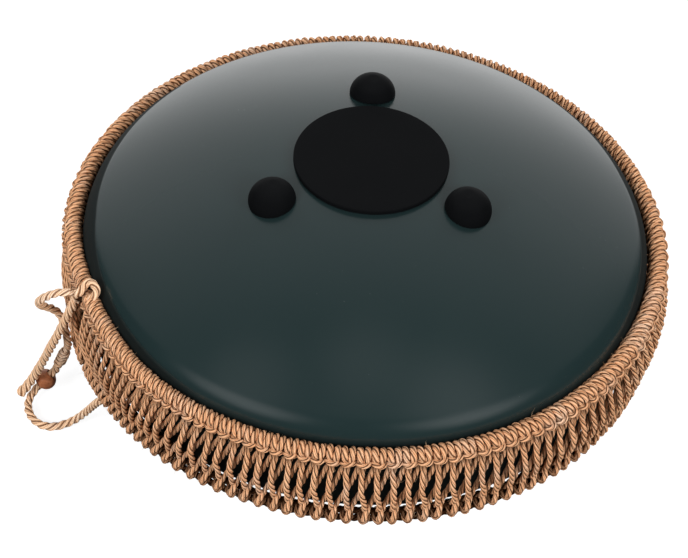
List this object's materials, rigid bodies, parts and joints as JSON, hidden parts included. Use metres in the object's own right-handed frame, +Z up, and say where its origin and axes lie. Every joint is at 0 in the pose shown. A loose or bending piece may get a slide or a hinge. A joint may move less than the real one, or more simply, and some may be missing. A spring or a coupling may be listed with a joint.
{
  "type": "tongue drum",
  "caption": "Round steel tongue drum of two dished shells, with slotted tongues, rubber feet, a rubber cap over its sound hole and a knotted jute net round the rim.",
  "frame": {"origin": "middle of the tongue shell's flat crown, which the drum lies on with its feet up", "axes": "+Z up along the drum's axis towards the rubber feet, +Y towards the first foot"},
  "size_m": [0.3506, 0.3262, 0.1511],
  "materials": {
    "painted_steel": "satin dark green-grey paint",
    "black_rubber": "matt moulded black rubber",
    "jute": "twisted three-strand jute cord with loose fibres",
    "bead_wood": "varnished red-brown wood"
  },
  "bodies": {
    "drum": {"tongue_shell": "painted_steel", "bottom_shell": "painted_steel", "foot_1": "black_rubber", "foot_2": "black_rubber", "foot_3": "black_rubber", "upper_ring_cord": "jute", "lower_ring_cord": "jute", "net_panel_01": "jute", "net_panel_02": "jute", "net_panel_03": "jute", "net_panel_04": "jute", "net_panel_05": "jute", "net_panel_06": "jute", "net_panel_07": "jute", "net_panel_08": "jute", "net_panel_09": "jute", "net_panel_10": "jute", "net_panel_11": "jute", "net_panel_12": "jute", "tie_knot": "jute", "tie_loop_cord": "jute", "tie_tail_cord": "jute", "tie_drawstring": "jute", "tie_stopper_knot": "jute", "tie_bead": "bead_wood"},
    "cap": {"port_cap": "black_rubber"}
  },
  "joints": [
    {"name": "cap_lift", "type": "slide", "parent": "drum", "child": "cap", "axis": [0, 0, 1], "range_m": [0, 0.03]}
  ]
}
